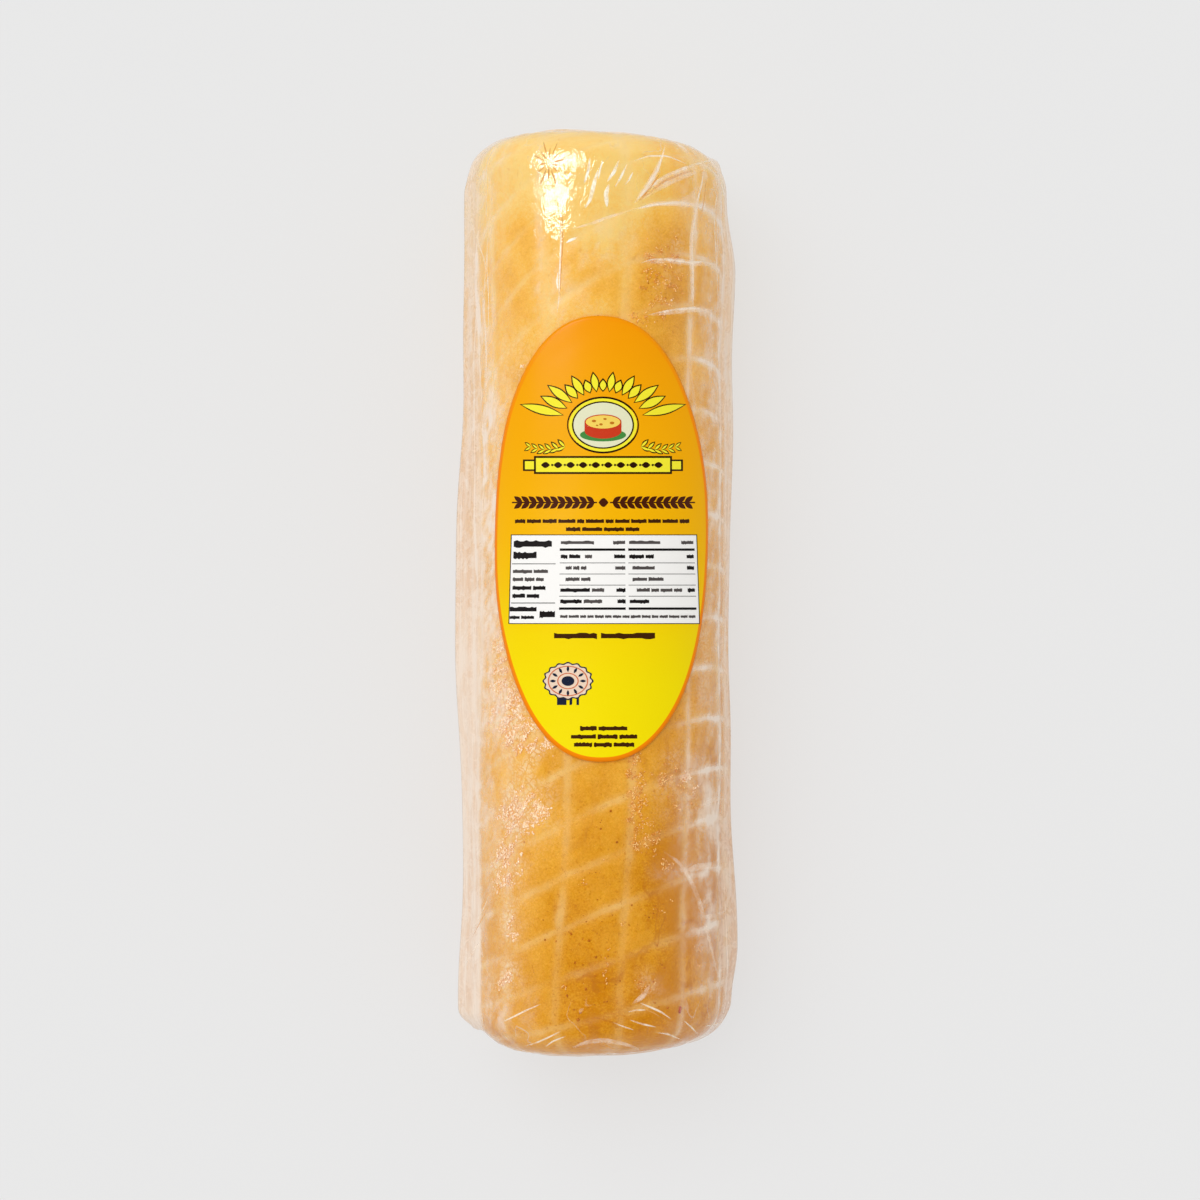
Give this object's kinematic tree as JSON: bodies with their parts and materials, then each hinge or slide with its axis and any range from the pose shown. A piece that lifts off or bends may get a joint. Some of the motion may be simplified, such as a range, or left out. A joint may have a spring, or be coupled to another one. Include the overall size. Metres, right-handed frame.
{
  "type": "smoked gouda log",
  "caption": "Whole log of smoked gouda, sealed in a tight clear bag that stands off its sides as thin fins, with net marks in its rind and an oval label on top.",
  "frame": {"origin": "on the surface that the log lies on, under the middle of its box", "axes": "+Y along the log, towards the end nearer the label; +X to the right as seen from above with +Y up; +Z up, through the label"},
  "size_m": [0.1083, 0.3545, 0.0941],
  "materials": {
    "sealed_cheese": "pale amber cheese under tight clear glossy film",
    "clear_film": "thin clear glossy bag film, milky where it stands off the cheese",
    "label_paper": "satin printed label, orange at the top running to yellow at the bottom",
    "print_ink": "dark print on the label"
  },
  "bodies": {
    "root": {"sealed_log": "sealed_cheese", "label": "label_paper"}
  },
  "joints": []
}
